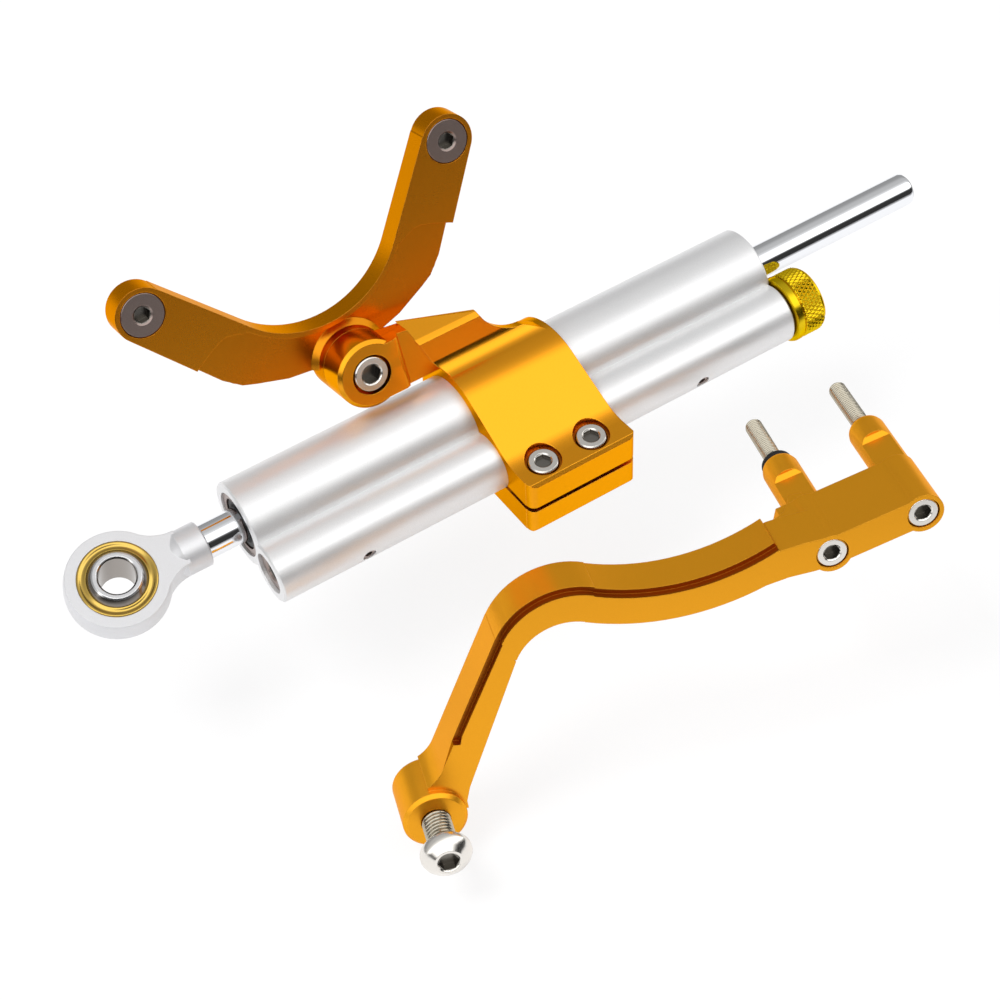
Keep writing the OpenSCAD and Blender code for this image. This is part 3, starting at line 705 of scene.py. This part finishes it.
@dataclass
class Cylinder:
    """The damper's two-bore body with its glands, plug, screws, knob and adjuster."""

    end_left: float = 36.0
    length: float = 167.1
    side_y: float = -16.2
    side_z: float = -3.67
    plug_sunk: float = 0.9
    knob_gap: float = 0.4
    knob_radius: float = 9.85
    knurl_low: float = 3.0
    knurl_high: float = 9.2
    knurl_bed: float = 0.62
    knurl_margin: float = 0.1
    knurl_skin: float = 0.6
    knurl_sunk: float = 0.05
    knurl_crease_deg: float = 24.0
    plug_socket: float = 2.89

    def along(self, x: float) -> Place:
        """The side bore's axis as a frame whose Z is the row frame's X."""
        return Place((x, self.side_y, self.side_z), turned(90.0, 0.0, 90.0))

    def dress(self, dresser: Dresser) -> None:
        """Dresses the body, its ends, the bypass plug and the adjuster."""
        dresser.skin("damper_body", SATIN_BODY)
        for node, finish in (
            ("gland_left", GLAND),
            ("gland_right", GLAND),
            ("wiper_left", RUBBER),
            ("wiper_right", RUBBER),
            ("clip_left", DARK_STEEL),
            ("clip_right", DARK_STEEL),
            ("plug_o_ring", RUBBER),
            ("grub_screws", DARK_STEEL),
            ("adjuster_spindle", STAINLESS),
            ("spindle_o_ring", RUBBER),
            ("detent_ball", STAINLESS),
        ):
            dresser.skin(node, finish)
        # Painted shade: the plug's hexagon socket gets the dark socket finish.
        at = (self.end_left + self.plug_sunk, self.side_y, self.side_z)
        face = Place(at, turned(-90.0, 0.0, 90.0))
        dresser.skin("bypass_plug", DARK_STEEL, [Recess(face, self.plug_socket, deep=3.2)])
        self.knob(dresser)

    def knob(self, dresser: Dresser) -> None:
        """Dresses the adjuster knob and rolls the diamond knurl on it."""
        base = self.along(self.end_left + self.length + self.knob_gap)
        low, high, radius = self.knurl_low, self.knurl_high, self.knob_radius

        def under_knurl(points: np.ndarray) -> np.ndarray:
            """Pulls the band under the knurl in, so that only the knurl shows there."""
            local = base.into(points)
            across = np.hypot(local[:, 0], local[:, 1])
            margin = self.knurl_margin
            beside = (local[:, 2] > low - margin) & (local[:, 2] < high + margin)
            band = beside & (across > radius - self.knurl_skin)
            local[band, :2] *= ((radius - self.knurl_bed) / across[band])[:, None]
            return base.out(local)

        dresser.skin("adjuster_knob", KNOB_GOLD, shift=under_knurl)
        points, faces = Knurl(radius - self.knurl_sunk, low, high).mesh()
        body = dresser.body_of["adjuster_knob"]
        sleeve = dresser.piece("knob_knurl", base.out(points), faces, KNOB_GOLD, body)
        sleeve.data.set_sharp_from_angle(angle=math.radians(self.knurl_crease_deg))


@dataclass(frozen=True)
class RaceRing:
    """The polished race round the ball, about the local Z, in millimetres."""

    outer: float = 10.72
    half: float = 5.0
    ball: float = 9.56
    edge: float = 0.4
    dish: float = 0.42
    columns: int = 144

    def mesh(self) -> Mesh:
        """The ring, turned from a closed profile.

        The outer side is straight with rounded edges. Each face dips by dish times the square
        of a half sine between its two rims, and the inner side is the ball's sphere, with
        radius sqrt(ball^2 - z^2).

        Returns:
            Points and faces.
        """
        turn = np.linspace(0.0, np.pi / 2, 6)
        round_r = self.outer - self.edge + self.edge * np.cos(turn)
        round_z = self.half - self.edge + self.edge * np.sin(turn)
        mouth = math.sqrt(self.ball**2 - self.half**2)
        across = np.linspace(0.0, 1.0, 18)[1:]
        face_r = (self.outer - self.edge) * (1.0 - across) + mouth * across
        face_z = self.half - self.dish * np.sin(np.pi * across) ** 2
        upper_r = np.concatenate([round_r, face_r])
        upper_z = np.concatenate([round_z, face_z])
        inner_z = np.linspace(self.half, -self.half, 20)[1:-1]
        inner_r = np.sqrt(self.ball**2 - inner_z**2)
        radius = np.concatenate([upper_r, inner_r, upper_r[::-1]])
        height = np.concatenate([upper_z, inner_z, -upper_z[::-1]])
        return round_grid(np.repeat(radius[:, None], self.columns, axis=1), height, wrap=True)


@dataclass(frozen=True)
class BoreAndSphere:
    """All of the ball but its two flat end faces, in millimetres; these faces are painted dark as
    a painted reflection.
    """

    place: Place
    flat: float = 6.7
    bore: float = 5.3

    def holds(self, centres: np.ndarray) -> np.ndarray:
        """True for each face centre, in metres, in the bore or on the sphere."""
        across, height = self.place.about(centres)
        return (np.abs(height) < self.flat) | (across < self.bore)


@dataclass
class RodAndEye:
    """The through rod, its piston and the rod end with its ball."""

    eye: Place = Place((0.0, 0.0, 0.0), turned(16.1))
    painted_dark_from: float = 260.9
    race_crease_deg: float = 40.0

    def dress(self, dresser: Dresser) -> None:
        """Dresses the rod, the piston and the rod end."""
        for node, finish in (
            ("piston", GLAND),
            ("piston_ring", PLASTIC),
            ("rod_end_housing", EYE_SATIN),
        ):
            dresser.skin(node, finish)
        # Painted reflection: the rod's tip past its last X gets the near black finish.
        dresser.skin("piston_rod", CHROME, [PastX(self.painted_dark_from)], inner=ROD_TIP_PAINTED_DARK)
        # Painted reflection: the ball's sphere and bore get the dark copy of its steel; the flat
        # end faces keep the plain colour.
        dresser.skin("rod_end_ball", BALL_FACE, [BoreAndSphere(self.eye)], inner=BALL_PAINTED_SHADE)
        points, faces = RaceRing().mesh()
        body = dresser.body_of["rod_end_race"]
        race = dresser.piece("race_ring", self.eye.out(points), faces, BRASS, body)
        race.data.set_sharp_from_angle(angle=math.radians(self.race_crease_deg))
        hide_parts("rod_end_race")


@dataclass
class ClampAndPivot:
    """The split clamp, its two bolts and the pivot of the crescent."""

    bolts_x: tuple[float, float] = (114.8, 130.4)
    bolts_y: float = -28.8
    tab_top: float = 2.6
    recess_radius: float = 5.4
    recess_deep: float = 6.5
    pivot_head_sunk: float = 0.15
    pivot: Place = Place((83.35, 5.62, 25.31), turned(68.5))

    def dress(self, dresser: Dresser) -> None:
        """Dresses the clamp, its bolts, the bush and the pivot bolt."""
        tops = [Place((x, self.bolts_y, self.tab_top), np.eye(3)) for x in self.bolts_x]
        # Painted shade: the bolt recesses in the tab get the dark groove finish, and the sockets
        # in the bolt heads the dark socket finish.
        recesses = [Recess(top, self.recess_radius, self.recess_deep) for top in tops]
        heads = [Recess(top, HEX_4MM) for top in tops]
        dresser.skin("clamp", GOLD, recesses, inner=GROOVE_PAINTED_SHADE)
        dresser.skin("clamp_bolts", STAINLESS, heads)
        dresser.skin("pivot_bush", BRASS)
        # Painted shade: the pivot bolt's hexagon socket gets the dark socket finish.
        head = self.pivot.moved(0, 0, -self.pivot_head_sunk)
        dresser.skin("pivot_bolt", STAINLESS, [Recess(head, HEX_5MM, deep=3.6)])


@dataclass
class Crescent:
    """The crescent bracket that swings on the clamp, and its two countersunk screws."""

    swing_deg: float = 5.2
    screw_half: float = 46.9
    screw_up: float = 43.7
    front: float = -10.5

    def dress(self, dresser: Dresser, pivot: Place) -> None:
        """Dresses the bracket and its screws.

        Args:
            dresser: The dresser.
            pivot: The pivot's frame.
        """
        place = Place(pivot.origin_mm, pivot.turn @ turned(0.0, 0.0, self.swing_deg))
        dresser.skin("crescent_bracket", DARK_GOLD)
        for side, x in (("left", -self.screw_half), ("right", self.screw_half)):
            # Painted shade: each screw's hexagon socket gets the dark socket finish.
            top = place.moved(x, self.screw_up, self.front)
            dresser.skin("bracket_screw_" + side, DARK_STEEL, [Recess(top, HEX_4MM, deep=2.8)])


@dataclass
class SArm:
    """The S-shaped arm with its two through bolts, O-ring and button-head bolt."""

    place: Place = Place((157.3, -100.6, 8.7), turned(71.87, 0.0, -17.95))
    second_bolt: tuple[float, float] = (24.9, 6.0)
    boss: tuple[float, float] = (-112.9, -55.4)
    rebate_deep: float = 2.0
    head_top: float = -0.25
    thread_from: float = -42.0
    tip: float = -65.2
    stub: float = 0.5
    overlap: float = 1.5
    neck_low: float = 2.2
    neck_high: float = 14.6
    neck_radius: float = 4.1
    waist_share: float = 0.78
    button_top: float = 18.9

    def bolt(self, dresser: Dresser, side: str, x: float, y: float) -> None:
        """One through bolt: the head and shank from the CAD, and a threaded tip.

        Args:
            dresser: The dresser.
            side: "left" or "right".
            x: The bolt's place across the arm.
            y: The bolt's place up the arm.
        """
        axis = self.place.moved(x, y, 0.0)

        def shortened(points: np.ndarray) -> np.ndarray:
            """Draws the shank's tip back to where the thread starts."""
            local = axis.into(points)
            far = local[:, 2] < self.thread_from
            local[far, 2] = self.thread_from + self.stub
            return axis.out(local)

        node = "arm_bolt_" + side
        # Painted shade: the head's hexagon socket gets the dark socket finish.
        head = Recess(axis.moved(0, 0, self.head_top), HEX_4MM, deep=3.2)
        dresser.skin(node, STAINLESS, [head], shortened)
        dresser.stud(node, axis, Thread(2.5, 0.8, self.tip, self.thread_from + self.overlap))

    def dress(self, dresser: Dresser) -> None:
        """Dresses the arm and its fasteners."""
        # Painted shade: the faces of the milled step along the front edge get the dark groove
        # finish.
        step = Rebate(self.place, self.rebate_deep, ((0.0, 0.0), self.second_bolt, self.boss))
        dresser.skin("arm_bracket", ARM_GOLD, [step], inner=GROOVE_PAINTED_SHADE)
        dresser.skin("arm_o_ring", RUBBER)
        self.bolt(dresser, "left", 0.0, 0.0)
        self.bolt(dresser, "right", *self.second_bolt)
        axis = self.place.moved(*self.boss, 0.0)

        def waisted(points: np.ndarray) -> np.ndarray:
            """Narrows the shank inside the thread that is seen, so that only the thread shows."""
            local = axis.into(points)
            thin = np.hypot(local[:, 0], local[:, 1]) < self.neck_radius
            shank = thin & (local[:, 2] < self.neck_high + 0.2)
            local[shank, :2] *= self.waist_share
            return axis.out(local)

        # Painted shade: the button head's hexagon socket gets the dark socket finish.
        top = axis.moved(0, 0, self.button_top)
        dresser.skin("button_bolt", STAINLESS, [Recess(top, HEX_5MM, deep=2.8)], waisted)
        low, high = self.neck_low, self.neck_high
        thread = Thread(4.0, 1.25, low, high, columns=64, rows_per_turn=10, tip_break=1.2)
        dresser.stud("button_bolt", axis, thread)


# ---------------------------------------------------------------- studio


@dataclass(frozen=True)
class Studio:
    """Floor, light and camera of the photograph.

    The camera's place is in millimetres, and the floor and the lamps are in metres. A tent stop
    is an angle, as a share of half a turn from the back horizon, and a tone.
    """

    floor_z: float = -57.6 * MM
    floor_half: float = 3.0
    floor_dark_before: float = -0.335
    floor_fade: float = 0.09
    floor_dark: Colour = (0.10, 0.10, 0.10)
    floor_bright: Colour = (1.15, 1.15, 1.15)
    paper: Colour = (0.86, 0.86, 0.87)
    floor_glow_seen: float = 0.82
    floor_glow_mirrored: float = 0.5
    white: Colour = (1.0, 1.0, 1.0)
    sky: Colour = (0.62, 0.62, 0.63)
    camera_at: tuple[float, float, float] = (-91.4, -364.9, 491.8)
    camera_right: tuple[float, float, float] = (0.8442, -0.5348, -0.0355)
    camera_forward: tuple[float, float, float] = (0.305, 0.5338, -0.7887)
    lens_mm: float = 83.52
    sensor_mm: float = 36.0
    lamp_aim: tuple[float, float, float] = (0.1, 0.0, 0.0)
    tent_peak: float = 1.9
    tent: tuple[tuple[float, float], ...] = (
        (0.0, 0.18),
        (0.18, 0.20),
        (0.30, 0.31),
        (0.42, 0.33),
        (0.50, 0.46),
        (0.58, 1.0),
        (0.76, 1.0),
        (0.80, 0.10),
        (0.84, 0.02),
        (0.97, 0.02),
    )

    def camera(self) -> None:
        """Places the camera that was fitted to the photograph."""
        data = bpy.data.cameras.new("camera")
        data.lens = self.lens_mm
        data.sensor_width = self.sensor_mm
        data.clip_end = 20.0
        forward = Vector(self.camera_forward).normalized()
        right = Vector(self.camera_right)
        right = (right - forward * right.dot(forward)).normalized()
        up = right.cross(forward)
        turn = Matrix((right, up, -forward)).transposed()
        made = bpy.data.objects.new("camera", data)
        made.matrix_world = Matrix.Translation(Vector(self.camera_at) * MM) @ turn.to_4x4()
        bpy.context.scene.collection.objects.link(made)
        bpy.context.scene.camera = made

    @staticmethod
    def rays(sh: Shader) -> tuple[Port, Port]:
        """1 for a mirrored ray, and 1 for a ray straight from the camera or through glass."""
        path = sh.node("ShaderNodeLightPath").socket.node
        through = Port(sh, path.outputs["Is Transmission Ray"])
        seen = Port(sh, path.outputs["Is Camera Ray"]) + through
        return Port(sh, path.outputs["Is Glossy Ray"]), seen.clamp()

    def floor(self) -> None:
        """A white floor with a faint shadow; metal sees it dark well in front of the part."""
        mesh = bpy.data.meshes.new("floor")
        half = self.floor_half
        corners = [(-half, -half), (half, -half), (half, half), (-half, half)]
        corners = [(x, y, self.floor_z) for x, y in corners]
        mesh.from_pydata(corners, [], [(0, 1, 2, 3)])
        made = bpy.data.objects.new("floor", mesh)
        material = bpy.data.materials.new("floor_white")
        material.use_nodes = True
        sh = Shader(material.node_tree)
        glossy, seen = self.rays(sh)
        _, y, _ = sh.split(sh.node("ShaderNodeTexCoord", None, None, "Object"))
        near = y.above(self.floor_dark_before, self.floor_fade)
        mirrored = sh.mix(near, self.floor_dark, self.floor_bright)
        paper = sh.node("ShaderNodeBsdfDiffuse", None, {"Color": self.paper})
        colour = sh.mix(glossy, self.white, mirrored)
        glow = sh.node("ShaderNodeEmission", None, {"Color": colour, "Strength": 1.0})
        share = (seen * self.floor_glow_seen + glossy * self.floor_glow_mirrored).clamp()
        both = sh.node("ShaderNodeMixShader", None, {0: share, 1: paper, 2: glow})
        sh.node("ShaderNodeOutputMaterial", None, {"Surface": both})
        mesh.materials.append(material)
        bpy.context.scene.collection.objects.link(made)

    def world(self) -> None:
        """White seen directly; metal sees a tent that is bright overhead and dark in front.

        The tent's tone depends on the angle from the back horizon, over the top, to the front
        horizon, as a share of half a turn.
        """
        world = bpy.data.worlds.new("tent")
        bpy.context.scene.world = world
        world.use_nodes = True
        sh = Shader(world.node_tree)
        glossy, seen = self.rays(sh)
        _, y, z = sh.split(sh.node("ShaderNodeTexCoord", None, None, "Generated"))
        turn = sh.node("ShaderNodeMath", {"operation": "ARCTAN2"}, {0: z, 1: y}) / math.pi
        stops = [(at, (tone, tone, tone)) for at, tone in self.tent]
        tent = sh.node("ShaderNodeValToRGB", {"stops": stops}, {0: turn.clamp()})
        peak = {0: tent, "Scale": self.tent_peak}
        tent = sh.node("ShaderNodeVectorMath", {"operation": "SCALE"}, peak)
        colour = sh.mix(seen, sh.mix(glossy, self.sky, tent), self.white)
        glow = sh.node("ShaderNodeBackground", None, {"Color": colour, "Strength": 1.0})
        sh.node("ShaderNodeOutputWorld", None, {"Surface": glow})

    def lamp(self, name: str, place: Sequence[float], size: float, power: float) -> None:
        """Adds one soft square lamp that faces the part and isn't mirrored in it.

        Args:
            name: Its name.
            place: Where it hangs, in metres.
            size: Its side.
            power: Its power in watts.
        """
        data = bpy.data.lights.new(name, "AREA")
        data.shape = "SQUARE"
        data.size = size
        data.energy = power
        made = bpy.data.objects.new(name, data)
        way = Vector(self.lamp_aim) - Vector(place)
        turn = way.to_track_quat("-Z", "Y").to_matrix().to_4x4()
        made.matrix_world = Matrix.Translation(place) @ turn
        made.visible_glossy = False
        bpy.context.scene.collection.objects.link(made)

    def build(self) -> None:
        """Builds the camera, the floor, the world and the lamps."""
        self.camera()
        self.floor()
        self.world()
        self.lamp("key", (-0.35, 0.15, 0.95), 0.45, 9.0)
        self.lamp("fill", (0.75, -0.45, 0.7), 0.5, 4.0)
        bpy.context.scene.view_settings.view_transform = "Standard"


def main() -> None:
    """Builds the whole scene on the frame."""
    logging.basicConfig(level=logging.INFO, format="%(message)s")
    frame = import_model()
    dresser = Dresser(frame)
    clamp = ClampAndPivot()
    Cylinder().dress(dresser)
    RodAndEye().dress(dresser)
    clamp.dress(dresser)
    Crescent().dress(dresser, clamp.pivot)
    SArm().dress(dresser)
    Studio().build()


if __name__ == "__main__":
    main()
